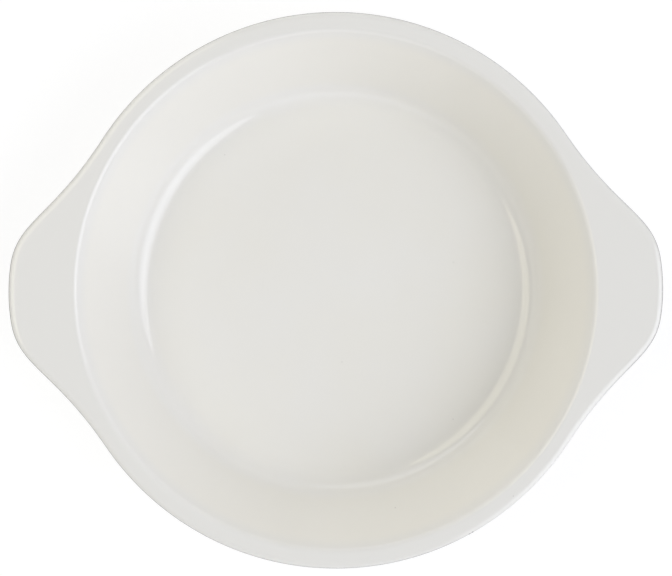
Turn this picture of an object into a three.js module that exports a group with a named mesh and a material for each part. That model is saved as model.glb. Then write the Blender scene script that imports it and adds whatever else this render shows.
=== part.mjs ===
// Round gratin dish in enamelled cast iron: a shallow bowl whose flat rim runs out into two lugs.
// One iron casting carries four fired coats of enamel, each a piece of its own.
// Millimetres, +Z up. The origin is on the table under the middle, and +X runs out through a lug.
import * as THREE from 'three';

// Bowl. The mouth is measured where the straight wall would meet the top of the rim.
const MOUTH_DIAMETER = 251;
const DEPTH = 44;
const WALL_LEAN = 31.8; // degrees from upright
const FLOOR_FILLET = 12;
const LIP_RADIUS = 3.4;

// Thicknesses of the finished dish, enamel included.
const WALL_THICKNESS = 4.6;
const FLOOR_THICKNESS = 4.5;
const RIM_THICKNESS = 5;

// Rim, a flat flange beyond the mouth. Its top edge is a quarter ellipse, wider than it is deep.
const RIM_WIDTH = 9.1;
const RIM_EDGE_WIDTH = 3.2;
const RIM_EDGE_DROP = 1.6;
const RIM_BOTTOM_ROUND = 1.5;
const RIM_FILLET = 5; // where the underside of the rim turns down into the wall

// Lugs. Each has a shallow crown at its tip and two flanks that sweep back onto the rim.
const LUG_REACH = 23.7; // beyond the rim
const LUG_SPAN = 67.2; // degrees of the rim
const LUG_CROWN_RADIUS = 96;
const LUG_CROWN_WIDTH = 27.2;
const LUG_CROWN_SWEEP = 21.8; // how long a flank keeps the crown's direction
const LUG_RIM_SWEEP = 45.1; // how long it keeps the rim's direction

// Base, with the bare ground ring that the dish stands on.
const BASE_CORNER = 12;
const FOOT_INSET = 2; // from the base's rounded corner
const FOOT_WIDTH = 6;
const FOOT_HEIGHT = 1.5;

// Enamel. Where the rim's edge is steeper than the tilt, only its ground coat covers it.
const COAT_THICKNESS = 0.4;
const BOND_GAP = 0.05; // between a coat and the iron, and from coat to coat
const GROUND_COAT_TILT = 45; // degrees

// Facets: the largest turn of a rounded corner in one step, and steps along a quarter of the outline.
const ARC_STEP = 20; // degrees
const CROWN_STEPS = 2;
const FLANK_STEPS = 8;
const RIM_STEPS = 8;

const radians = THREE.MathUtils.degToRad;

// Heights and radii that follow from the sizes above.
const floorTop = FOOT_HEIGHT + FLOOR_THICKNESS;
const rimTop = floorTop + DEPTH;
const rimUnder = rimTop - RIM_THICKNESS;
const mouthRadius = MOUTH_DIAMETER / 2;
const rimRadius = mouthRadius + RIM_WIDTH;
const wallLean = radians(WALL_LEAN);
const insideRadius = (z) => mouthRadius - (rimTop - z) * Math.tan(wallLean);
const outsideRadius = (z) => insideRadius(z) + WALL_THICKNESS / Math.cos(wallLean);

// The outline of the rim and lugs, seen from above, as points with their outward normals.
function quarterOutline() {
  const tip = rimRadius + LUG_REACH;
  const crownTurn = Math.asin(LUG_CROWN_WIDTH / 2 / LUG_CROWN_RADIUS);
  const crown = new THREE.ArcCurve(tip - LUG_CROWN_RADIUS, 0, LUG_CROWN_RADIUS, 0, crownTurn);
  const rim = new THREE.ArcCurve(0, 0, rimRadius, radians(LUG_SPAN / 2), Math.PI / 2);
  const crownEnd = crown.getPoint(1);
  const root = rim.getPoint(0);
  const flank = new THREE.CubicBezierCurve(
    crownEnd,
    crownEnd.clone().addScaledVector(crown.getTangent(1), LUG_CROWN_SWEEP),
    root.clone().addScaledVector(rim.getTangent(0), -LUG_RIM_SWEEP),
    root,
  );
  return [...samples(crown, CROWN_STEPS), ...samples(flank, FLANK_STEPS), ...samples(rim, RIM_STEPS)];
}

// Even samples of a plan curve, without its last point, which starts the next curve.
function samples(curve, steps) {
  return Array.from({ length: steps }, (_, i) => {
    const tangent = curve.getTangent(i / steps);
    return { point: curve.getPoint(i / steps), normal: new THREE.Vector2(tangent.y, -tangent.x) };
  });
}

// The whole outline: the quarter, its mirror image, and both again half a turn on.
function wholeOutline() {
  const quarter = quarterOutline();
  const side = { point: new THREE.Vector2(0, rimRadius), normal: new THREE.Vector2(0, 1) };
  const flip = (v) => new THREE.Vector2(-v.x, v.y);
  const turn = (v) => v.clone().negate();
  const moved = (move) => ({ point, normal }) => ({ point: move(point), normal: move(normal) });
  const half = [...quarter, side, ...quarter.slice(1).reverse().map(moved(flip))];
  return [...half, ...half.map(moved(turn))];
}

const outline = wholeOutline();

// The section of the finished dish, as stations with a radius, a height and an outward normal.
// Stations run over the floor and wall to the rim's edge, and back underneath to the axis.
function level(radius, height, up) {
  return { point: new THREE.Vector2(radius, height), normal: new THREE.Vector2(0, up) };
}

// A rounded corner of the section. The result gives its stations between two shares of the turn.
function rounded(before, corner, after, radius, { alongOutline = false } = {}) {
  const start = corner.clone().sub(before).angle();
  const end = after.clone().sub(corner).angle();
  const turn = THREE.MathUtils.euclideanModulo(end - start + Math.PI, 2 * Math.PI) - Math.PI;
  const bend = Math.sign(turn) * radius;
  const leftOf = (angle) => new THREE.Vector2(-Math.sin(angle), Math.cos(angle));
  const towards = new THREE.Vector2(Math.cos(start), Math.sin(start));
  const arcStart = corner.clone().addScaledVector(towards, -bend * Math.tan(turn / 2));
  const centre = arcStart.addScaledVector(leftOf(start), bend);
  return (from = 0, to = 1) => {
    const steps = Math.ceil(Math.abs(turn) * (to - from) / radians(ARC_STEP));
    return Array.from({ length: steps + 1 }, (_, i) => {
      const normal = leftOf(start + turn * (from + (to - from) * i / steps));
      return { point: centre.clone().addScaledVector(normal, -bend), normal, alongOutline };
    });
  };
}

// The rim's top edge, between two tilts of its surface from level.
function topEdge(from, to) {
  const steps = Math.ceil((to - from) / radians(ARC_STEP));
  return Array.from({ length: steps + 1 }, (_, i) => {
    const tilt = from + (to - from) * i / steps;
    const normal = new THREE.Vector2(Math.sin(tilt), Math.cos(tilt));
    const reach = topEdgeReach(tilt);
    const point = new THREE.Vector2(
      rimRadius - RIM_EDGE_WIDTH + RIM_EDGE_WIDTH ** 2 * normal.x / reach,
      rimTop - RIM_EDGE_DROP + RIM_EDGE_DROP ** 2 * normal.y / reach,
    );
    return { point, normal, alongOutline: true };
  });
}

// How far the ellipse's tangent at a tilt lies from its centre.
function topEdgeReach(tilt) {
  return Math.hypot(RIM_EDGE_WIDTH * Math.sin(tilt), RIM_EDGE_DROP * Math.cos(tilt));
}

const floorMiddle = level(0, floorTop, 1);
const baseMiddle = level(0, FOOT_HEIGHT, -1);
const floorCorner = new THREE.Vector2(insideRadius(floorTop), floorTop);
const lipCorner = new THREE.Vector2(mouthRadius, rimTop);
const edgeTop = new THREE.Vector2(rimRadius, rimTop);
const edgeBottom = new THREE.Vector2(rimRadius, rimUnder);
const rimCorner = new THREE.Vector2(outsideRadius(rimUnder), rimUnder);
const baseCorner = new THREE.Vector2(outsideRadius(FOOT_HEIGHT), FOOT_HEIGHT);

const floorFillet = rounded(floorMiddle.point, floorCorner, lipCorner, FLOOR_FILLET);
const lip = rounded(floorCorner, lipCorner, edgeTop, LIP_RADIUS);
const bottomRound = rounded(edgeTop, edgeBottom, rimCorner, RIM_BOTTOM_ROUND, { alongOutline: true });
const rimFillet = rounded(edgeBottom, rimCorner, baseCorner, RIM_FILLET);
const baseRound = rounded(rimCorner, baseCorner, baseMiddle.point, BASE_CORNER);

const footOuter = baseRound().at(-1).point.x - FOOT_INSET;
const footInner = footOuter - FOOT_WIDTH;

// Tilts of the rim's top edge: level, where its ground coat begins, and upright.
const edgeLevel = 0;
const groundCoatFrom = radians(GROUND_COAT_TILT);
const edgeUpright = Math.PI / 2;

// The closed loop through a station, sunk below the finished surface by a depth.
function loop({ point, normal, alongOutline }, depth) {
  const { x: radius, y: height } = point.clone().addScaledVector(normal, -depth);
  if (radius === 0) return [new THREE.Vector3(0, 0, height)];
  return outline.map((sample) => {
    const plan = alongOutline
      ? sample.point.clone().addScaledVector(sample.normal, radius - rimRadius)
      : sample.point.clone().setLength(radius);
    return new THREE.Vector3(plan.x, plan.y, height);
  });
}

const loops = (stations, depth) => stations.map((station) => loop(station, depth));

// A coat of enamel: its glazed face, and its back on the iron.
function coat(stations) {
  return [...loops(stations, 0), ...loops(stations, COAT_THICKNESS).reverse()];
}

// A closed solid through a ring of loops. A loop of one point closes it on the axis.
function loft(rows) {
  const firsts = [];
  const vertices = [];
  for (const row of rows) {
    firsts.push(vertices.length);
    vertices.push(...row);
  }
  const vertex = (row, i) => firsts[row] + i % rows[row].length;
  const triangles = [];
  for (let here = 0; here < rows.length; here += 1) {
    const next = (here + 1) % rows.length;
    for (let i = 0; i < outline.length; i += 1) {
      if (rows[next].length > 1) triangles.push(vertex(here, i), vertex(next, i), vertex(next, i + 1));
      if (rows[here].length > 1) triangles.push(vertex(here, i), vertex(next, i + 1), vertex(here, i + 1));
    }
  }
  const geometry = new THREE.BufferGeometry().setFromPoints(vertices);
  geometry.setIndex(triangles);
  geometry.computeVertexNormals();
  return geometry;
}

// Iron: grey iron, bare only on the ground face of the foot ring.
function ironCasting() {
  const depth = COAT_THICKNESS + BOND_GAP;
  const underEnamel = [
    floorMiddle, ...floorFillet(), ...lip(), ...topEdge(edgeLevel, edgeUpright),
    ...bottomRound(), ...rimFillet(), ...baseRound(), level(footOuter, FOOT_HEIGHT, -1),
  ];
  const footFace = [level(footOuter, 0, -1), level(footInner, 0, -1)];
  const basePanel = [level(footInner, FOOT_HEIGHT, -1), baseMiddle];
  return loft([...loops(underEnamel, depth), ...loops(footFace, 0), ...loops(basePanel, depth)]);
}

// Cover coat of the cooking side: floor, wall, lip, and the top of the rim and lugs.
function interiorEnamel() {
  return loft(coat([floorMiddle, ...floorFillet(), ...lip(), ...topEdge(edgeLevel, groundCoatFrom)]));
}

// Ground coat, left as a thin line round the rim's outer edge.
function rimEdgeGroundCoat() {
  const bendRadius = (RIM_EDGE_WIDTH * RIM_EDGE_DROP) ** 2 / topEdgeReach(groundCoatFrom) ** 3;
  return loft(coat(topEdge(groundCoatFrom + BOND_GAP / bendRadius, edgeUpright)));
}

// Cover coat of the outside: the rim's side and underside, the wall, and the base up to the foot.
function exteriorEnamel() {
  const side = topEdge(edgeLevel, edgeUpright).at(-1);
  const belowLine = { ...side, point: side.point.clone().setY(side.point.y - BOND_GAP) };
  const atFoot = level(footOuter + BOND_GAP, FOOT_HEIGHT, -1);
  return loft(coat([belowLine, ...bottomRound(), ...rimFillet(), ...baseRound(), atFoot]));
}

// Cover coat of the base panel inside the foot ring.
function baseEnamel() {
  return loft(coat([level(footInner - BOND_GAP, FOOT_HEIGHT, -1), baseMiddle]));
}

const iron = new THREE.MeshStandardMaterial({ color: 0x55565a, roughness: 0.6, metalness: 0.8 });
const ivoryEnamel = new THREE.MeshStandardMaterial({ color: 0xf0efeb, roughness: 0.2, metalness: 0 });
const groundCoat = new THREE.MeshStandardMaterial({ color: 0x9b9b98, roughness: 0.4, metalness: 0 });

function piece(name, geometry, material) {
  const mesh = new THREE.Mesh(geometry, material);
  mesh.name = name;
  return mesh;
}

const gratinDish = new THREE.Group();
gratinDish.add(
  piece('iron_casting', ironCasting(), iron),
  piece('interior_enamel', interiorEnamel(), ivoryEnamel),
  piece('rim_edge_ground_coat', rimEdgeGroundCoat(), groundCoat),
  piece('exterior_enamel', exteriorEnamel(), ivoryEnamel),
  piece('base_enamel', baseEnamel(), ivoryEnamel),
);

export default gratinDish;
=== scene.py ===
"""Dresses the enamelled cast iron gratin dish.

It makes fine meshes for the casting and its coats, gives them their finishes, and sets up a studio.
"""

import math
from collections import namedtuple

import bpy
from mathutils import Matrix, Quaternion, Vector


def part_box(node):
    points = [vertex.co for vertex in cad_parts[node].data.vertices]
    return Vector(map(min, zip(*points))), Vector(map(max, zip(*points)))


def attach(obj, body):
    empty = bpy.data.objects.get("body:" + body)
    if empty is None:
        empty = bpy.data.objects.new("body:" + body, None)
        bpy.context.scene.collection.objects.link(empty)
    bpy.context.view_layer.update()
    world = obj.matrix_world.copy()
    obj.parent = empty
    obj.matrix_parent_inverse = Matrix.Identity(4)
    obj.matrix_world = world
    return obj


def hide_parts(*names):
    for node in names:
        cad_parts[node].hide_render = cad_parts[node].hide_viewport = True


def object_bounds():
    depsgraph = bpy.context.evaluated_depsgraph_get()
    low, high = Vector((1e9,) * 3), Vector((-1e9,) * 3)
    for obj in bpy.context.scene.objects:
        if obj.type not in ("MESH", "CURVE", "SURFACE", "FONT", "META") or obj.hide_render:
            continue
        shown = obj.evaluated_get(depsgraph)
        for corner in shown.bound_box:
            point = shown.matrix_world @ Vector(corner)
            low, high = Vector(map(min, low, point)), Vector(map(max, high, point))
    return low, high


bl_info = {
    "name": "Enamelled Gratin Dish",
    "version": (1, 0, 0),
    "blender": (4, 5, 0),
    "location": "3D View > Sidebar > Gratin Dish",
    "description": "Makes the casting, enamel coats and studio of a round gratin dish with two lugs",
    "category": "Add Mesh",
}

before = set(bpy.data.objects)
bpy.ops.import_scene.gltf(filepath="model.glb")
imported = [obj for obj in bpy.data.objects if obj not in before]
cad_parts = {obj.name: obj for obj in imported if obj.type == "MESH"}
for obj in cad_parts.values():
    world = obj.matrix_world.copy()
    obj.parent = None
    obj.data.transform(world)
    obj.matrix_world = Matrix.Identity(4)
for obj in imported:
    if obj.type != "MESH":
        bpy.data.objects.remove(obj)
CAD_LOW, CAD_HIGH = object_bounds()
MM = 0.001

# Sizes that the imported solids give
COOKING_SIDE_LOW, COOKING_SIDE_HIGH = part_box("interior_enamel")
OUTSIDE_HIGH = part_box("exterior_enamel")[1]
BASE_LOW, BASE_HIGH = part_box("base_enamel")
COAT = BASE_HIGH.z - BASE_LOW.z
FOOT_HEIGHT = BASE_LOW.z
FLOOR_TOP = COOKING_SIDE_LOW.z + COAT
RIM_TOP = COOKING_SIDE_HIGH.z
RIM_RADIUS = OUTSIDE_HIGH.y
LUG_TIP = OUTSIDE_HIGH.x
FOOT_INNER = BASE_HIGH.y

# The photograph's frame, in pixels
FRAME_WIDTH = 672


# Properties

def linear(hex_code):
    """A hex sRGB colour as linear red, green, blue and alpha."""
    shares = [int(hex_code[i:i + 2], 16) / 255 for i in (1, 3, 5)]
    return (*(s / 12.92 if s <= 0.04045 else ((s + 0.055) / 1.055) ** 2.4 for s in shares), 1.0)


def length(name, description, millimetres):
    """A property that holds a length, given in millimetres."""
    return bpy.props.FloatProperty(
        name=name, description=description, default=millimetres * MM, min=0.0, precision=5,
        subtype="DISTANCE", unit="LENGTH",
    )


def angle(name, description, degrees):
    """A property that holds an angle, given in degrees."""
    return bpy.props.FloatProperty(
        name=name, description=description, default=math.radians(degrees), subtype="ANGLE", unit="ROTATION"
    )


def fraction(name, description, default):
    """A property that holds a number from 0 to 1."""
    return bpy.props.FloatProperty(
        name=name, description=description, default=default, min=0.0, max=1.0, subtype="FACTOR"
    )


def colour(name, description, hex_code):
    """A property that holds a colour, given as sRGB hex."""
    return bpy.props.FloatVectorProperty(
        name=name, description=description, default=linear(hex_code), size=4, min=0.0, max=1.0,
        subtype="COLOR",
    )


class DishSizes(bpy.types.PropertyGroup):
    """Sizes of the dish that the boxes of its solids don't give."""

    mouth_diameter: length("Mouth Diameter", "Where the straight wall would meet the top of the rim", 251)
    wall_lean: angle("Wall Lean", "How far the wall leans out from upright", 31.8)
    wall_thickness: length("Wall Thickness", "Finished wall, enamel included", 4.6)
    rim_thickness: length("Rim Thickness", "Finished rim, enamel included", 5)
    floor_fillet: length("Floor Fillet", "Round between the floor and the wall", 12)
    lip_radius: length("Lip Radius", "Round between the wall and the rim", 3.4)
    rim_edge_width: length("Rim Edge Width", "Ellipse on the rim's top edge, as seen from above", 3.2)
    rim_edge_drop: length("Rim Edge Drop", "The same ellipse, as seen from the side", 1.6)
    rim_bottom_round: length("Rim Bottom Round", "Round on the rim's outer edge, below", 1.5)
    rim_fillet: length("Rim Fillet", "Round under the rim, against the wall", 5)
    base_corner: length("Base Corner", "Round between the wall and the base", 12)
    foot_width: length("Foot Width", "Bare ground ring that the dish stands on", 6)
    foot_edge: length("Foot Edge", "Broken edge of the ground ring", 0.5)
    lug_span: angle("Lug Span", "Share of the rim that a lug grows from", 67.2)
    lug_crown_radius: length("Lug Crown Radius", "Round at the lug's tip", 96)
    lug_crown_width: length("Lug Crown Width", "Width of that round", 27.2)
    lug_crown_sweep: length("Lug Crown Sweep", "How long a flank keeps the crown's direction", 21.8)
    lug_rim_sweep: length("Lug Rim Sweep", "How long a flank keeps the rim's direction", 45.1)
    bond_gap: length("Bond Gap", "Gap that the solids keep between a coat and the iron", 0.05)
    # The grey line on the edge's steeper part is partly real ground coat, partly painted shade
    ground_coat_tilt: angle("Ground Coat Tilt", "The rim's edge shows ground coat where it is steeper", 45)
    steps_round: bpy.props.IntProperty(
        name="Steps Round", description="Mesh steps round the dish", default=360, min=48
    )


class DishFinish(bpy.types.PropertyGroup):
    """Colours and gloss of the dish."""

    enamel: colour("Enamel", "Ivory cover coat", "#F0EFEB")
    # Warmer tint: partly random pooling of the coat, partly painted warm bounce light on the walls
    enamel_pooled_and_bounce_tint: colour("Enamel, Thick", "Cover coat where it ran thicker, on the walls", "#EFEDE5")
    enamel_thin: colour("Enamel, Thin", "Cover coat on the rim and lugs, thinner and greyer", "#EBEAE5")
    # Greys of the rim's edge line: partly real ground coat, partly painted shade of the steep edge
    ground_coat: colour("Ground Coat", "Grey coat under the cover coats", "#BEBEBB")
    lug_ground_coat_and_edge_shade: colour("Ground Coat, Bare", "The same on the lugs, where it shows most", "#A0A09D")
    speck: colour("Speck", "Pinholes and chips in the enamel", "#5C5A57")
    iron: colour("Iron", "Ground face of the foot ring", "#77767A")
    iron_dark: colour("Iron, Dark", "Grinding lines in the foot ring", "#3F3D3C")
    glossiest: fraction("Glossiest", "Least roughness of the enamel", 0.05)
    dullest: fraction("Dullest", "Greatest roughness of the enamel", 0.09)


class StudioSettings(bpy.types.PropertyGroup):
    """Camera and light."""

    camera_height: length("Camera Height", "Above the rim", 1100)
    photo_scale: length("Photo Scale", "Size of a pixel of the photograph at the rim", 0.48298)
    camera_x: length("Camera X", "Camera's place along the lugs", 0.1)
    camera_y: length("Camera Y", "Camera's place across the lugs", 1.1)
    camera_roll: angle("Camera Roll", "Turn of the frame about the line of sight", -0.67)
    horizon: fraction("Horizon", "Brightness of the tent all round", 0.88)
    zenith: fraction("Zenith", "Brightness of the tent above", 0.31)
    horizon_colour: colour("Horizon Colour", "Colour of the tent all round", "#FFFCFA")
    zenith_colour: colour("Zenith Colour", "Colour of the tent above", "#E7ECFF")
    key_colour: colour("Key Colour", "Colour of the key light and its helpers", "#F5F7FF")
    fill_colour: colour("Fill Colour", "Colour of the fill light", "#FFF8D9")
    board: colour("Board", "White board under the dish", "#E7E7E7")
    board_shadow: colour("Board, Shadow", "The board's share that takes the dish's shadow", "#7C7C7C")
    board_glow: fraction("Board Glow", "How far the board looks white by itself", 0.84)


def dish():
    """The sizes that the scene holds."""
    return bpy.context.scene.gratin_dish


def finish():
    """The colours and gloss that the scene holds."""
    return bpy.context.scene.gratin_finish


def studio():
    """The camera and light that the scene holds."""
    return bpy.context.scene.gratin_studio


# Nodes and objects

def add(tree, kind, inputs=None, **settings):
    """Adds a node, sets its properties, and gives each input a value or a link.

    A link comes from an output, or from a node, which stands for its first output in use.
    """
    node = tree.nodes.new(kind)
    for name, value in settings.items():
        setattr(node, name, value)
    for key, value in (inputs or {}).items():
        if isinstance(value, bpy.types.Node):
            value = next(output for output in value.outputs if output.enabled)
        if isinstance(value, bpy.types.NodeSocket):
            tree.links.new(value, node.inputs[key])
        else:
            node.inputs[key].default_value = value
    return node


def linked(name, data):
    """A new object of the scene."""
    made = bpy.data.objects.new(name, data)
    bpy.context.scene.collection.objects.link(made)
    return made


# Section: stations along the finished surface, each with its outward normal

Station = namedtuple("Station", "point normal")
UP = Vector((0.0, 1.0))
DOWN = Vector((0.0, -1.0))
ARC_STEP = math.radians(4.5)
SUPPORT = 0.6 * MM
SHORTEST_SPLIT = 4 * SUPPORT
LONGEST_STEP = 14 * MM


def rounded(before, corner, after, radius):
    """Stations on the arc that rounds a corner."""
    heading = math.atan2(*(corner - before).yx)
    turn = math.remainder(math.atan2(*(after - corner).yx) - heading, 2 * math.pi)
    bend = math.copysign(radius, turn)

    def left_of(direction):
        return Vector((-math.sin(direction), math.cos(direction)))

    along = Vector((math.cos(heading), math.sin(heading)))
    centre = corner - along * bend * math.tan(turn / 2) + left_of(heading) * bend
    steps = math.ceil(abs(turn) / ARC_STEP)
    normals = [left_of(heading + turn * i / steps) for i in range(steps + 1)]
    return [Station(centre - normal * bend, normal) for normal in normals]


def top_edge(sizes, low, high):
    """Stations on the rim's top edge, a quarter ellipse, between two tilts of its surface from level."""
    width, drop = sizes.rim_edge_width, sizes.rim_edge_drop
    steps = math.ceil((high - low) / ARC_STEP)
    stations = []
    for i in range(steps + 1):
        tilt = low + (high - low) * i / steps
        normal = Vector((math.sin(tilt), math.cos(tilt)))
        tangent_distance = math.hypot(width * normal.x, drop * normal.y)
        out = RIM_RADIUS - width + width ** 2 * normal.x / tangent_distance
        up = RIM_TOP - drop + drop ** 2 * normal.y / tangent_distance
        stations.append(Station(Vector((out, up)), normal))
    return stations


def stretched(stations):
    """The same stations with more on long straight stretches, close to their ends and evenly between."""
    result = [stations[0]]
    for here, there in zip(stations, stations[1:]):
        span = (there.point - here.point).length
        if span > SHORTEST_SPLIT:
            steps = math.ceil((span - 2 * SUPPORT) / LONGEST_STEP)
            gaps = [SUPPORT + (span - 2 * SUPPORT) * i / steps for i in range(steps + 1)]
            result += [Station(here.point.lerp(there.point, gap / span), here.normal) for gap in gaps]
        result.append(there)
    return result


class Section:
    """The corners and rounds of the finished dish, as radius and height."""

    def __init__(self, sizes):
        lean = sizes.wall_lean
        mouth = sizes.mouth_diameter / 2
        rim_under = RIM_TOP - sizes.rim_thickness
        wall = sizes.wall_thickness / math.cos(lean)

        def inside(height):
            return mouth - (RIM_TOP - height) * math.tan(lean)

        floor_middle = Vector((0.0, FLOOR_TOP))
        floor_corner = Vector((inside(FLOOR_TOP), FLOOR_TOP))
        lip_corner = Vector((mouth, RIM_TOP))
        edge_top = Vector((RIM_RADIUS, RIM_TOP))
        edge_bottom = Vector((RIM_RADIUS, rim_under))
        rim_corner = Vector((inside(rim_under) + wall, rim_under))
        base_corner = Vector((inside(FOOT_HEIGHT) + wall, FOOT_HEIGHT))
        base_middle = Vector((0.0, FOOT_HEIGHT))
        coat_end = sizes.ground_coat_tilt

        self.floor = [Station(floor_middle, UP)]
        self.floor_fillet = rounded(floor_middle, floor_corner, lip_corner, sizes.floor_fillet)
        self.lip = rounded(floor_corner, lip_corner, edge_top, sizes.lip_radius)
        self.edge_coat = top_edge(sizes, 0.0, coat_end)
        self.edge_line = top_edge(sizes, coat_end, math.pi / 2)
        self.edge_under = rounded(edge_top, edge_bottom, rim_corner, sizes.rim_bottom_round)
        self.rim_fillet = rounded(edge_bottom, rim_corner, base_corner, sizes.rim_fillet)
        self.base_round = rounded(rim_corner, base_corner, base_middle, sizes.base_corner)
        self.base = [Station(base_middle, DOWN)]
        self.flange_middle = (self.rim_fillet[0].point.x + self.edge_coat[0].point.x) / 2


def sunk(stations, depth):
    """The points a depth below the finished surface."""
    return [station.point - station.normal * depth for station in stations]


def coat_section(stations, closed):
    """The section of a coat: its face, then its back, and its start again unless it ends on the axis."""
    points = sunk(stations, 0.0) + sunk(stations, COAT)[::-1]
    return points + points[:1] if closed else points


# Plan: the outline of the rim and lugs as one closed Bezier curve

Knot = namedtuple("Knot", "point heading before after")
OUTLINE_RESOLUTION = 64


def arc_handle(radius, turn):
    """Handle length of a Bezier segment that stands for an arc."""
    return radius * 4 / 3 * math.tan(turn / 4)


def quarter_knots(sizes):
    """Knots from the tip of a lug to the side of the rim."""
    crown_turn = math.asin(sizes.lug_crown_width / 2 / sizes.lug_crown_radius)
    crown = arc_handle(sizes.lug_crown_radius, crown_turn)
    root = sizes.lug_span / 2
    rim_turn = (math.pi / 2 - root) / 2
    rim = arc_handle(RIM_RADIUS, rim_turn)
    crown_centre = LUG_TIP - sizes.lug_crown_radius

    def on_arc(centre, radius, at, before, after):
        point = Vector((centre + radius * math.cos(at), radius * math.sin(at)))
        return Knot(point, Vector((-math.sin(at), math.cos(at))), before, after)

    return [
        on_arc(crown_centre, sizes.lug_crown_radius, 0.0, crown, crown),
        on_arc(crown_centre, sizes.lug_crown_radius, crown_turn, crown, sizes.lug_crown_sweep),
        on_arc(0.0, RIM_RADIUS, root, sizes.lug_rim_sweep, rim),
        on_arc(0.0, RIM_RADIUS, root + rim_turn, rim, rim),
        on_arc(0.0, RIM_RADIUS, math.pi / 2, rim, rim),
    ]


def outline_knots(sizes):
    """All the knots: the quarter, its mirror image, and both again half a turn on."""
    quarter = quarter_knots(sizes)
    mirrored = [
        Knot(Vector((-k.point.x, k.point.y)), Vector((k.heading.x, -k.heading.y)), k.after, k.before)
        for k in quarter[-2:0:-1]
    ]
    half = quarter + mirrored
    return half + [Knot(-k.point, -k.heading, k.before, k.after) for k in half]


def outline_object(sizes):
    """The outline as a curve object in the plane of the table."""
    curve = bpy.data.curves.new("rim outline", "CURVE")
    curve.dimensions = "3D"
    spline = curve.splines.new("BEZIER")
    knots = outline_knots(sizes)
    spline.bezier_points.add(len(knots) - 1)
    spline.use_cyclic_u = True
    spline.resolution_u = OUTLINE_RESOLUTION
    for knot, bezier in zip(knots, spline.bezier_points):
        bezier.handle_left_type = bezier.handle_right_type = "FREE"
        bezier.co = knot.point.to_3d()
        bezier.handle_left = (knot.point - knot.heading * knot.before).to_3d()
        bezier.handle_right = (knot.point + knot.heading * knot.after).to_3d()
    return linked("rim outline", curve)


def section_object(points):
    """A section as a curve object in the XZ plane, with the radius along X."""
    curve = bpy.data.curves.new("section", "CURVE")
    curve.dimensions = "3D"
    spline = curve.splines.new("POLY")
    spline.points.add(len(points) - 1)
    for point, place in zip(points, spline.points):
        place.co = (point.x, 0.0, point.y, 1.0)
    return linked("section", curve)


# Sweep: geometry nodes that carry a section round the dish

SWEEP_NAME = "section round the dish"
SWEEP_INPUTS = {
    "Section": "NodeSocketObject",
    "Outline": "NodeSocketObject",
    "Steps Round": "NodeSocketInt",
    "Rim Radius": "NodeSocketFloat",
    "Flange Middle": "NodeSocketFloat",
    "Weld Distance": "NodeSocketFloat",
    "Finish": "NodeSocketMaterial",
}
WELD = 0.002 * MM
SHARP = math.radians(35)


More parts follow.
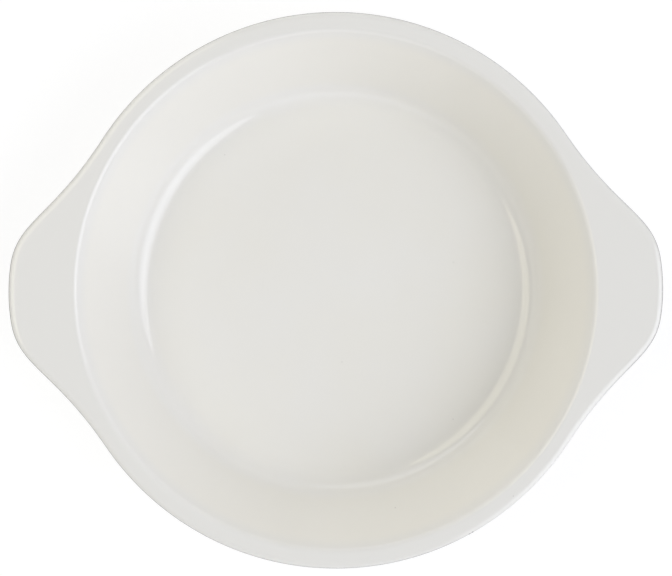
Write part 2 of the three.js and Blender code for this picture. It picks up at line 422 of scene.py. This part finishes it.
def sweep_tree():
    """Each point of the section runs round in a circle, or along the outline if it is on the rim's edge."""
    tree = bpy.data.node_groups.new(SWEEP_NAME, "GeometryNodeTree")
    tree.interface.new_socket("Geometry", in_out="OUTPUT", socket_type="NodeSocketGeometry")
    for name, kind in SWEEP_INPUTS.items():
        tree.interface.new_socket(name, in_out="INPUT", socket_type=kind)
    given = add(tree, "NodeGroupInput").outputs
    steps = given["Steps Round"]
    section = add(tree, "GeometryNodeObjectInfo", {"Object": given["Section"]}).outputs["Geometry"]
    path = add(tree, "GeometryNodeObjectInfo", {"Object": given["Outline"]}).outputs["Geometry"]
    outline = add(tree, "GeometryNodeResampleCurve", {"Curve": path, "Count": steps}, mode="COUNT")

    # A grid with a column for each step round and a row for each point of the section
    size = add(tree, "GeometryNodeAttributeDomainSize", {"Geometry": section}, component="CURVE")
    rows = size.outputs["Point Count"]
    columns = add(tree, "FunctionNodeIntegerMath", {0: steps, 1: 1}, operation="ADD")
    grid = add(tree, "GeometryNodeMeshGrid", {"Vertices X": columns, "Vertices Y": rows})
    index = add(tree, "GeometryNodeInputIndex")
    row = add(tree, "FunctionNodeIntegerMath", {0: index, 1: rows}, operation="MODULO")
    column = add(tree, "FunctionNodeIntegerMath", {0: index, 1: rows}, operation="DIVIDE")
    step = add(tree, "FunctionNodeIntegerMath", {0: column, 1: steps}, operation="MODULO")

    # The station of each row, and the outline's place and heading at each column
    position = add(tree, "GeometryNodeInputPosition")
    tangent = add(tree, "GeometryNodeInputTangent")
    wanted = ((section, position, row), (outline, position, step), (outline, tangent, step))
    point, plan, heading = (
        add(
            tree, "GeometryNodeSampleIndex", {"Geometry": curve, "Value": value, "Index": at},
            data_type="FLOAT_VECTOR", domain="POINT", clamp=True,
        )
        for curve, value, at in wanted
    )
    station = add(tree, "ShaderNodeSeparateXYZ", {0: point}).outputs

    # Places along the outline and on the circle, and the choice between them
    outward = add(tree, "ShaderNodeVectorMath", {0: heading, 1: (0.0, 0.0, 1.0)}, operation="CROSS_PRODUCT")
    offset = add(tree, "ShaderNodeMath", {0: station["X"], 1: given["Rim Radius"]}, operation="SUBTRACT")
    shift = add(tree, "ShaderNodeVectorMath", {0: outward, "Scale": offset}, operation="SCALE")
    on_outline = add(tree, "ShaderNodeVectorMath", {0: plan, 1: shift}, operation="ADD")
    ray = add(tree, "ShaderNodeVectorMath", {0: plan}, operation="NORMALIZE")
    on_circle = add(tree, "ShaderNodeVectorMath", {0: ray, "Scale": station["X"]}, operation="SCALE")
    on_edge = add(
        tree, "ShaderNodeMath", {0: station["X"], 1: given["Flange Middle"]}, operation="GREATER_THAN"
    )
    level = add(
        tree, "GeometryNodeSwitch", {"Switch": on_edge, "False": on_circle, "True": on_outline},
        input_type="VECTOR",
    )
    height = add(tree, "ShaderNodeCombineXYZ", {"Z": station["Z"]})
    place = add(tree, "ShaderNodeVectorMath", {0: level, 1: height}, operation="ADD")

    # One closed mesh with its faces outwards
    carried = add(tree, "GeometryNodeSetPosition", {"Geometry": grid, "Position": place})
    welded = add(
        tree, "GeometryNodeMergeByDistance", {"Geometry": carried, "Distance": given["Weld Distance"]}
    )
    turned = add(tree, "GeometryNodeFlipFaces", {"Mesh": welded})
    realised = add(tree, "GeometryNodeRealizeInstances", {"Geometry": turned})
    finished = add(tree, "GeometryNodeSetMaterial", {"Geometry": realised, "Material": given["Finish"]})
    add(tree, "NodeGroupOutput", {"Geometry": finished})
    return tree


def swept(name, section, material):
    """A closed piece made by carrying a section round the dish."""
    sizes = dish()
    tree = bpy.data.node_groups.get(SWEEP_NAME) or sweep_tree()
    section_path = section_object(section)
    outline_path = outline_object(sizes)
    piece = linked(name, bpy.data.meshes.new(name))
    modifier = piece.modifiers.new("sweep", "NODES")
    modifier.node_group = tree
    values = {
        "Section": section_path,
        "Outline": outline_path,
        "Steps Round": sizes.steps_round,
        "Rim Radius": RIM_RADIUS,
        "Flange Middle": Section(sizes).flange_middle,
        "Weld Distance": WELD,
        "Finish": material,
    }
    for socket in tree.interface.items_tree:
        if socket.in_out == "INPUT":
            modifier[socket.identifier] = values[socket.name]
    mesh = bpy.data.meshes.new_from_object(piece.evaluated_get(bpy.context.evaluated_depsgraph_get()))
    piece.modifiers.clear()
    piece.data = mesh
    mesh.name = name
    mesh.shade_smooth()
    mesh.set_sharp_from_angle(angle=SHARP)
    for path in (section_path, outline_path):
        bpy.data.curves.remove(path.data)
    return piece


def placed(piece, node):
    """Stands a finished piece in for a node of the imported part."""
    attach(piece, "root")
    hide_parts(node)


# Finishes

def new_material(name):
    """A material and its node tree, still empty."""
    material = bpy.data.materials.new(name)
    material.use_nodes = True
    material.node_tree.nodes.clear()
    return material, material.node_tree


# Inputs of a mix of two colours, and the detail of a smooth and of a rough noise
SHARE, FIRST, SECOND = 0, 6, 7
SMOOTH_DETAIL = 1.0
ROUGH_DETAIL = 2.0

CHIP_RADIUS = 0.6 * MM
CHIP_DROP = 1.2 * MM
CHIP_DARKNESS = 0.7

# Where the rim's edge is chipped, in plan
EDGE_CHIPS = ((63.4 * MM, -118.7 * MM), (64.8 * MM, -117.8 * MM), (90.9 * MM, 98.1 * MM))


def chips(tree, place):
    """How dark the small chips in the rim's edge are, and zero elsewhere."""
    result = 0.0
    for x, y in EDGE_CHIPS:
        middle = (x, y, RIM_TOP - CHIP_DROP)
        away = add(tree, "ShaderNodeVectorMath", {0: place, 1: middle}, operation="DISTANCE")
        within = add(tree, "ShaderNodeMath", {0: away, 1: CHIP_RADIUS}, operation="LESS_THAN")
        result = add(tree, "ShaderNodeMath", {0: result, 1: within}, operation="MAXIMUM")
    return add(tree, "ShaderNodeMath", {0: result, 1: CHIP_DARKNESS}, operation="MULTIPLY")


PINHOLE_SPACING = 28 * MM
PINHOLE_RADIUS = 0.3 * MM
PINHOLE_SHARE = 0.12
PINHOLE_DARKNESS = 0.2


def pinholes(tree, place):
    """How dark the few pinholes are that gas left in the fired glass, and zero elsewhere."""
    radius = PINHOLE_RADIUS / PINHOLE_SPACING
    cells = add(
        tree, "ShaderNodeTexVoronoi", {"Vector": place, "Scale": 1 / PINHOLE_SPACING},
        voronoi_dimensions="2D",
    ).outputs
    draw = add(tree, "ShaderNodeSeparateColor", {0: cells["Color"]})
    chosen = add(tree, "ShaderNodeMath", {0: draw, 1: PINHOLE_SHARE}, operation="LESS_THAN")
    near = add(tree, "ShaderNodeMath", {0: cells["Distance"], 1: radius}, operation="LESS_THAN")
    hole = add(tree, "ShaderNodeMath", {0: near, 1: chosen}, operation="MULTIPLY")
    return add(tree, "ShaderNodeMath", {0: hole, 1: PINHOLE_DARKNESS}, operation="MULTIPLY")


def reach(tree, place):
    """Distance from the upright axis of the dish."""
    plan = add(tree, "ShaderNodeVectorMath", {0: place, 1: (1.0, 1.0, 0.0)}, operation="MULTIPLY")
    return add(tree, "ShaderNodeVectorMath", {0: plan}, operation="LENGTH")


SPECKLE = 0.7 * MM
SPECKLE_FROM = 0.5
SPECKLE_FULL = 0.7
SPECKLE_SHARE = 0.5


def ground_coat_and_edge_shade_grey(tree, place):
    """Grey with dark specks, lighter round the rim, and darker on the lugs, where the coat is thinnest;
    partly real ground coat, partly painted shade of the rim's steep edge.
    """
    look = finish()
    bare = add(
        tree, "ShaderNodeMapRange",
        {"Value": reach(tree, place), "From Min": RIM_RADIUS, "From Max": LUG_TIP},
        interpolation_type="SMOOTHSTEP",
    )
    coat = add(
        tree, "ShaderNodeMix",
        {SHARE: bare, FIRST: look.ground_coat, SECOND: look.lug_ground_coat_and_edge_shade},
        data_type="RGBA",
    )
    grains = add(
        tree, "ShaderNodeTexNoise", {"Vector": place, "Scale": 1 / SPECKLE, "Detail": SMOOTH_DETAIL}
    )
    specks = add(
        tree, "ShaderNodeMapRange",
        {"Value": grains, "From Min": SPECKLE_FROM, "From Max": SPECKLE_FULL, "To Max": SPECKLE_SHARE},
        interpolation_type="SMOOTHSTEP",
    )
    return add(tree, "ShaderNodeMix", {SHARE: specks, FIRST: coat, SECOND: look.speck}, data_type="RGBA")


# Painted light: the side where the key light catches the rim's edge, on which the grey line is painted
# lighter
LIT_SIDE_TOWARDS = math.radians(-43)
LIT_SIDE_FULL = math.radians(18)
LIT_SIDE_NONE = math.radians(34)


def painted_lit_side(tree, place):
    """One on the lower right, where the key light catches the rim's edge, and zero elsewhere: a mask for
    painted light.
    """
    side = (math.cos(LIT_SIDE_TOWARDS), math.sin(LIT_SIDE_TOWARDS), 0.0)
    ray = add(tree, "ShaderNodeVectorMath", {0: place}, operation="NORMALIZE")
    towards = add(tree, "ShaderNodeVectorMath", {0: ray, 1: side}, operation="DOT_PRODUCT")
    return add(
        tree, "ShaderNodeMapRange",
        {"Value": towards, "From Min": math.cos(LIT_SIDE_NONE), "From Max": math.cos(LIT_SIDE_FULL)},
        interpolation_type="SMOOTHSTEP",
    )


RAGGED = 2.5 * MM
LINE_FADE = 0.55 * MM
LINE_SHOW = 0.4


def beside_line(tree, place, height):
    """How far the grey shows through the cover coat, thin and ragged beside the bare line: partly real
    ground coat, partly painted shade.
    """
    section = Section(dish())
    top, bottom = section.edge_line[0].point.y, section.edge_line[-1].point.y
    half = (top - bottom) / 2
    above = add(tree, "ShaderNodeMath", {0: height, 1: bottom + half}, operation="SUBTRACT")
    away = add(tree, "ShaderNodeMath", {0: above}, operation="ABSOLUTE")
    shows = add(
        tree, "ShaderNodeMapRange",
        {"Value": away, "From Min": half, "From Max": half + LINE_FADE, "To Min": LINE_SHOW, "To Max": 0.0},
        interpolation_type="SMOOTHSTEP",
    )
    patches = add(
        tree, "ShaderNodeTexNoise", {"Vector": place, "Scale": 1 / RAGGED, "Detail": SMOOTH_DETAIL}
    )
    ragged = add(tree, "ShaderNodeMath", {0: shows, 1: patches}, operation="MULTIPLY")
    on_edge = add(
        tree, "ShaderNodeMath", {0: reach(tree, place), 1: section.flange_middle}, operation="GREATER_THAN"
    )
    # Painted light: no grey beside the line on the lower right, where the key light catches the edge
    off_painted_lit_side = add(
        tree, "ShaderNodeMath", {0: on_edge, 1: painted_lit_side(tree, place)}, operation="SUBTRACT", use_clamp=True
    )
    return add(tree, "ShaderNodeMath", {0: ragged, 1: off_painted_lit_side}, operation="MULTIPLY")


POOL = 45 * MM
RIPPLE = 30 * MM
RIPPLE_HEIGHT = 0.03 * MM
PEEL = 3 * MM
PEEL_HEIGHT = 0.003 * MM
THIN_FROM = 9 * MM
ENAMEL_IOR = 1.55


def enamel_colour(tree, place, pool):
    """Ivory, warmer on the walls from random pooling and painted warm bounce light, greyer where it is thin
    at the rim, with a grey rim edge that is partly painted shade, and with the flaws of a real coat.
    """
    look = finish()
    height = add(tree, "ShaderNodeSeparateXYZ", {0: place}).outputs["Z"]
    # Painted warm bounce light: the warmer tint takes over on the walls, above the floor
    wall = add(
        tree, "ShaderNodeMapRange",
        {"Value": height, "From Min": FLOOR_TOP, "From Max": FLOOR_TOP + dish().floor_fillet},
        interpolation_type="SMOOTHSTEP",
    )
    # Random pooling everywhere, and the painted warm bounce light on the walls
    pooled_and_bounce_share = add(tree, "ShaderNodeMath", {0: pool, 1: wall}, operation="MAXIMUM")
    thin = add(
        tree, "ShaderNodeMapRange", {"Value": height, "From Min": RIM_TOP - THIN_FROM, "From Max": RIM_TOP},
        interpolation_type="SMOOTHSTEP",
    )
    flawed = add(
        tree, "ShaderNodeMath", {0: pinholes(tree, place), 1: chips(tree, place)}, operation="MAXIMUM"
    )
    layers = (
        (pooled_and_bounce_share, look.enamel_pooled_and_bounce_tint),
        (thin, look.enamel_thin),
        # Grey beside the edge line: partly real ground coat, partly painted shade
        (beside_line(tree, place, height), ground_coat_and_edge_shade_grey(tree, place)),
        (flawed, look.speck),
    )
    coat = look.enamel
    for cover, tint in layers:
        coat = add(tree, "ShaderNodeMix", {SHARE: cover, FIRST: coat, SECOND: tint}, data_type="RGBA")
    return coat


def enamel_material():
    """Vitreous enamel, sprayed and fired.

    To the eye it is an opaque ivory glass, glossy, with a slow ripple and a faint orange peel. It is warmest
    on the walls, from random pooling and painted warm bounce light, and greyer on the lip, rim and lugs,
    where it is thin.
    """
    look = finish()
    material, tree = new_material("fired ivory enamel")
    place = add(tree, "ShaderNodeTexCoord").outputs["Object"]
    pool = add(tree, "ShaderNodeTexNoise", {"Vector": place, "Scale": 1 / POOL, "Detail": ROUGH_DETAIL})
    gloss = add(
        tree, "ShaderNodeMapRange", {"Value": pool, "To Min": look.glossiest, "To Max": look.dullest},
        interpolation_type="SMOOTHSTEP",
    )
    waves = add(
        tree, "ShaderNodeTexNoise", {"Vector": place, "Scale": 1 / RIPPLE, "Detail": SMOOTH_DETAIL}
    )
    ripple = add(tree, "ShaderNodeBump", {"Height": waves, "Distance": RIPPLE_HEIGHT})
    dimples = add(
        tree, "ShaderNodeTexNoise", {"Vector": place, "Scale": 1 / PEEL, "Detail": SMOOTH_DETAIL}
    )
    peel = add(tree, "ShaderNodeBump", {"Height": dimples, "Distance": PEEL_HEIGHT, "Normal": ripple})
    tint = enamel_colour(tree, place, pool)
    shader = add(
        tree, "ShaderNodeBsdfPrincipled",
        {"Base Color": tint, "Roughness": gloss, "Normal": peel, "IOR": ENAMEL_IOR},
    )
    add(tree, "ShaderNodeOutputMaterial", {"Surface": shader})
    return material


GROUND_COAT_GRAIN = 0.01 * MM
GROUND_COAT_ROUGHNESS = 0.3
GROUND_COAT_IOR = 1.52


def ground_coat_and_edge_shade_material():
    """Ground coat, fired first and left bare where the cover coat drew back from it; its grey is partly
    painted shade of the rim's steep edge.

    To the eye it is a thin grey glass, satin, with dark specks. On the lower right it is painted in the thin
    enamel's colour instead, as painted light where the key light catches the edge.
    """
    look = finish()
    material, tree = new_material("fired grey ground coat")
    place = add(tree, "ShaderNodeTexCoord").outputs["Object"]
    # Painted light: the line turns to the thin enamel's colour on the lower right, where the key light
    # catches it
    line = add(
        tree, "ShaderNodeMix",
        {SHARE: painted_lit_side(tree, place), FIRST: ground_coat_and_edge_shade_grey(tree, place), SECOND: look.enamel_thin},
        data_type="RGBA",
    )
    tint = add(
        tree, "ShaderNodeMix", {SHARE: chips(tree, place), FIRST: line, SECOND: look.speck}, data_type="RGBA"
    )
    grains = add(
        tree, "ShaderNodeTexNoise", {"Vector": place, "Scale": 1 / SPECKLE, "Detail": SMOOTH_DETAIL}
    )
    grain = add(tree, "ShaderNodeBump", {"Height": grains, "Distance": GROUND_COAT_GRAIN})
    shader = add(
        tree, "ShaderNodeBsdfPrincipled",
        {"Base Color": tint, "Roughness": GROUND_COAT_ROUGHNESS, "Normal": grain, "IOR": GROUND_COAT_IOR},
    )
    add(tree, "ShaderNodeOutputMaterial", {"Surface": shader})
    return material


GRIND_PITCH = 0.5 * MM
GRIND_LENGTH = 40 * MM
GRIND_DEPTH = 0.02 * MM
GRIND_SMOOTH = 0.3
GRIND_ROUGH = 0.6
OXIDE_PATCH = 18 * MM
OXIDE_FROM = 0.1
OXIDE_FULL = 0.45


def iron_material():
    """Grey cast iron, ground flat on a belt.

    To the eye it is a dull metal with straight lines along the belt and a dark oxide in them. The lines of
    a real belt are finer, and are drawn coarse enough to show.
    """
    look = finish()
    material, tree = new_material("ground cast iron")
    place = add(tree, "ShaderNodeTexCoord").outputs["Object"]
    along = GRIND_PITCH / GRIND_LENGTH
    belt = add(tree, "ShaderNodeMapping", {"Vector": place, "Scale": (along, 1.0, along)})
    lines = add(
        tree, "ShaderNodeTexNoise", {"Vector": belt, "Scale": 1 / GRIND_PITCH, "Detail": ROUGH_DETAIL}
    )
    patches = add(
        tree, "ShaderNodeTexNoise", {"Vector": place, "Scale": 1 / OXIDE_PATCH, "Detail": ROUGH_DETAIL}
    )
    oxide = add(tree, "ShaderNodeMath", {0: lines, 1: patches}, operation="MULTIPLY")
    dark = add(
        tree, "ShaderNodeMapRange", {"Value": oxide, "From Min": OXIDE_FROM, "From Max": OXIDE_FULL},
        interpolation_type="SMOOTHSTEP",
    )
    tint = add(
        tree, "ShaderNodeMix", {SHARE: dark, FIRST: look.iron, SECOND: look.iron_dark}, data_type="RGBA"
    )
    gloss = add(
        tree, "ShaderNodeMapRange", {"Value": lines, "To Min": GRIND_SMOOTH, "To Max": GRIND_ROUGH},
        interpolation_type="SMOOTHSTEP",
    )
    scratches = add(tree, "ShaderNodeBump", {"Height": lines, "Distance": GRIND_DEPTH})
    shader = add(
        tree, "ShaderNodeBsdfPrincipled",
        {"Base Color": tint, "Roughness": gloss, "Normal": scratches, "Metallic": 1.0},
    )
    add(tree, "ShaderNodeOutputMaterial", {"Surface": shader})
    return material


# Pieces

class GRATIN_OT_iron_casting(bpy.types.Operator):
    """Makes the iron casting, bare only on the ground ring that it stands on"""

    bl_idname = "gratin.iron_casting"
    bl_label = "Iron Casting"

    def execute(self, context):
        sizes = dish()
        section = Section(sizes)
        depth = COAT + sizes.bond_gap
        inner = FOOT_INNER + sizes.bond_gap
        outer = inner + sizes.foot_width
        edge = sizes.foot_edge
        shell = (
            section.floor + section.floor_fillet + section.lip + section.edge_coat + section.edge_line[1:]
            + section.edge_under + section.rim_fillet + section.base_round
            + [Station(Vector((outer, FOOT_HEIGHT)), DOWN)]
        )
        foot = [(outer, edge), (outer - edge, 0.0), (inner + edge, 0.0), (inner, edge)]
        panel = [Station(Vector((inner, FOOT_HEIGHT)), DOWN)] + section.base
        points = sunk(stretched(shell), depth) + [Vector(p) for p in foot] + sunk(stretched(panel), depth)
        placed(swept("dish_casting", points, iron_material()), "iron_casting")
        return {"FINISHED"}


class GRATIN_OT_cover_coats(bpy.types.Operator):
    """Makes the ivory cover coats of the cooking side, the outside and the base panel"""

    bl_idname = "gratin.cover_coats"
    bl_label = "Cover Coats"

    def execute(self, context):
        sizes = dish()
        section = Section(sizes)
        enamel = enamel_material()
        foot_outer = FOOT_INNER + 2 * sizes.bond_gap + sizes.foot_width
        at_foot = [Station(Vector((foot_outer, FOOT_HEIGHT)), DOWN)]
        at_panel = [Station(Vector((FOOT_INNER, FOOT_HEIGHT)), DOWN)]
        cooking_side = section.floor + section.floor_fillet + section.lip + section.edge_coat
        outside = (
            section.edge_line[-1:] + section.edge_under + section.rim_fillet + section.base_round + at_foot
        )
        coats = {
            "cooking_side_enamel": (cooking_side, False, "interior_enamel"),
            "outside_enamel": (outside, True, "exterior_enamel"),
            "base_panel_enamel": (at_panel + section.base, False, "base_enamel"),
        }
        for name, (stations, closed, node) in coats.items():
            points = coat_section(stretched(stations), closed)
            placed(swept(name, points, enamel), node)
        return {"FINISHED"}


class GRATIN_OT_rim_line(bpy.types.Operator):
    """Makes the thin grey line round the rim's outer edge: ground coat, partly painted shade of the steep
    edge
    """

    bl_idname = "gratin.rim_line"
    bl_label = "Rim Line"

    def execute(self, context):
        line = coat_section(Section(dish()).edge_line, True)
        placed(swept("rim_edge_line", line, ground_coat_and_edge_shade_material()), "rim_edge_ground_coat")
        return {"FINISHED"}


# Studio

SEEN_RAYS = ("Is Camera Ray", "Is Glossy Ray", "Is Transmission Ray")
WHITE = linear("#FFFFFF")
FLOOR_SIDE = 8.0
FLOOR_DROP = 0.1 * MM

# Angles from straight up between which the tent of light goes from bright to dim
TENT_LOW = math.radians(82)
TENT_HIGH = math.radians(56)

# Lights, with their angles in degrees and their lengths in metres
Softbox = namedtuple("Softbox", "name azimuth elevation distance width height brightness")
COOL_BOXES = (
    Softbox("key light", -24, 43, 10.0, 12.0, 8.8, 2.0),
    Softbox("middle of the key light", -24, 43, 9.0, 6.84, 3.78, 1.0),
    Softbox("left light", 110, 25, 5.0, 5.0, 2.4, 1.15),
    Softbox("front light", 265, 28, 5.0, 5.0, 2.4, 0.7),
)
FILL_BOX = Softbox("fill light", 159, 58, 3.2, 3.07, 2.2, 1.85)


def seen(tree):
    """One for rays that see the background, straight or mirrored, and zero for rays that carry light."""
    path = add(tree, "ShaderNodeLightPath").outputs
    result = 0.0
    for name in SEEN_RAYS:
        result = add(tree, "ShaderNodeMath", {0: result, 1: path[name]}, operation="MAXIMUM")
    return result


def shone(tint, brightness):
    """A colour at a brightness."""
    return (*(channel * brightness for channel in tint[:3]), 1.0)


def studio_world():
    """A plain tent of light, bright all round at the table's level and dim above, white to look at."""
    settings = studio()
    world = bpy.data.worlds.new("light tent")
    bpy.context.scene.world = world
    world.use_nodes = True
    tree = world.node_tree
    tree.nodes.clear()
    direction = add(tree, "ShaderNodeTexCoord").outputs["Generated"]
    height = add(tree, "ShaderNodeSeparateXYZ", {0: direction}).outputs["Z"]
    above = add(
        tree, "ShaderNodeMapRange",
        {"Value": height, "From Min": math.cos(TENT_LOW), "From Max": math.cos(TENT_HIGH)},
        interpolation_type="SMOOTHSTEP",
    )
    low = add(
        tree, "ShaderNodeMix",
        {SHARE: seen(tree), FIRST: shone(settings.horizon_colour, settings.horizon), SECOND: WHITE},
        data_type="RGBA",
    )
    tent = add(
        tree, "ShaderNodeMix",
        {SHARE: above, FIRST: low, SECOND: shone(settings.zenith_colour, settings.zenith)},
        data_type="RGBA",
    )
    light = add(tree, "ShaderNodeBackground", {"Color": tent})
    add(tree, "ShaderNodeOutputWorld", {"Surface": light})


def floor_material():
    """Matt white board: white to look at, with the dish's shadow left on it as a light grey."""
    settings = studio()
    material, tree = new_material("white board")
    board = add(tree, "ShaderNodeBsdfDiffuse", {"Color": settings.board})
    shaded = add(tree, "ShaderNodeBsdfDiffuse", {"Color": settings.board_shadow})
    glow = add(tree, "ShaderNodeEmission", {"Color": WHITE, "Strength": settings.board_glow})
    looked_at = add(tree, "ShaderNodeAddShader", {0: shaded, 1: glow})
    mixed = add(tree, "ShaderNodeMixShader", {0: seen(tree), 1: board, 2: looked_at})
    add(tree, "ShaderNodeOutputMaterial", {"Surface": mixed})
    return material


def floor_object():
    """The board that the dish stands on."""
    half = FLOOR_SIDE / 2
    level = CAD_LOW.z - FLOOR_DROP
    corners = [(-half, -half, level), (half, -half, level), (half, half, level), (-half, half, level)]
    mesh = bpy.data.meshes.new("floor")
    mesh.from_pydata(corners, [], [(0, 1, 2, 3)])
    mesh.materials.append(floor_material())
    return linked("floor", mesh)


def softbox(box, tint):
    """A flat light that faces the middle of the dish, where a brightness of 1 looks white."""
    light = bpy.data.lights.new(box.name, "AREA")
    light.shape = "ELLIPSE"
    light.size = box.width
    light.size_y = box.height
    light.energy = box.brightness * math.pi * (math.pi / 4 * box.width * box.height)
    light.color = tint[:3]
    lamp = linked(box.name, light)
    azimuth, elevation = math.radians(box.azimuth), math.radians(box.elevation)
    level = math.cos(elevation)
    towards = Vector((math.cos(azimuth) * level, math.sin(azimuth) * level, math.sin(elevation)))
    lamp.location = Vector((0.0, 0.0, RIM_TOP)) + towards * box.distance
    lamp.rotation_mode = "QUATERNION"
    lamp.rotation_quaternion = towards.to_track_quat("Z", "Y")
    lamp.visible_camera = False


def camera_object():
    """A camera straight above the dish, whose frame is the photograph's."""
    settings = studio()
    data = bpy.data.cameras.new("camera")
    data.lens = data.sensor_width * settings.camera_height / (FRAME_WIDTH * settings.photo_scale)
    camera = linked("camera", data)
    camera.location = (settings.camera_x, settings.camera_y, RIM_TOP + settings.camera_height)
    camera.rotation_mode = "QUATERNION"
    camera.rotation_quaternion = Quaternion((0.0, 0.0, 1.0), settings.camera_roll)
    return camera


class GRATIN_OT_studio(bpy.types.Operator):
    """Makes the white floor, the light and a camera straight above the dish"""

    bl_idname = "gratin.studio"
    bl_label = "Studio"

    def execute(self, context):
        settings = studio()
        context.scene.view_settings.view_transform = "Standard"
        studio_world()
        floor_object()
        for box in COOL_BOXES:
            softbox(box, settings.key_colour)
        softbox(FILL_BOX, settings.fill_colour)
        context.scene.camera = camera_object()
        return {"FINISHED"}


class GRATIN_PT_panel(bpy.types.Panel):
    """Sizes, finishes and steps of the gratin dish"""

    bl_label = "Gratin Dish"
    bl_idname = "GRATIN_PT_panel"
    bl_space_type = "VIEW_3D"
    bl_region_type = "UI"
    bl_category = "Gratin Dish"

    def draw(self, context):
        for group in (dish(), finish(), studio()):
            box = self.layout.box()
            for name in group.__annotations__:
                box.prop(group, name)
        for operator in OPERATORS:
            self.layout.operator(operator.bl_idname)


GROUPS = {"gratin_dish": DishSizes, "gratin_finish": DishFinish, "gratin_studio": StudioSettings}
OPERATORS = (GRATIN_OT_iron_casting, GRATIN_OT_cover_coats, GRATIN_OT_rim_line, GRATIN_OT_studio)
CLASSES = (*GROUPS.values(), *OPERATORS, GRATIN_PT_panel)


def register():
    for cls in CLASSES:
        bpy.utils.register_class(cls)
    for name, group in GROUPS.items():
        setattr(bpy.types.Scene, name, bpy.props.PointerProperty(type=group))


def unregister():
    for name in GROUPS:
        delattr(bpy.types.Scene, name)
    for cls in reversed(CLASSES):
        bpy.utils.unregister_class(cls)


def main():
    """Makes the dish and its studio."""
    register()
    bpy.ops.gratin.iron_casting()
    bpy.ops.gratin.cover_coats()
    bpy.ops.gratin.rim_line()
    bpy.ops.gratin.studio()


if __name__ == "__main__":
    main()
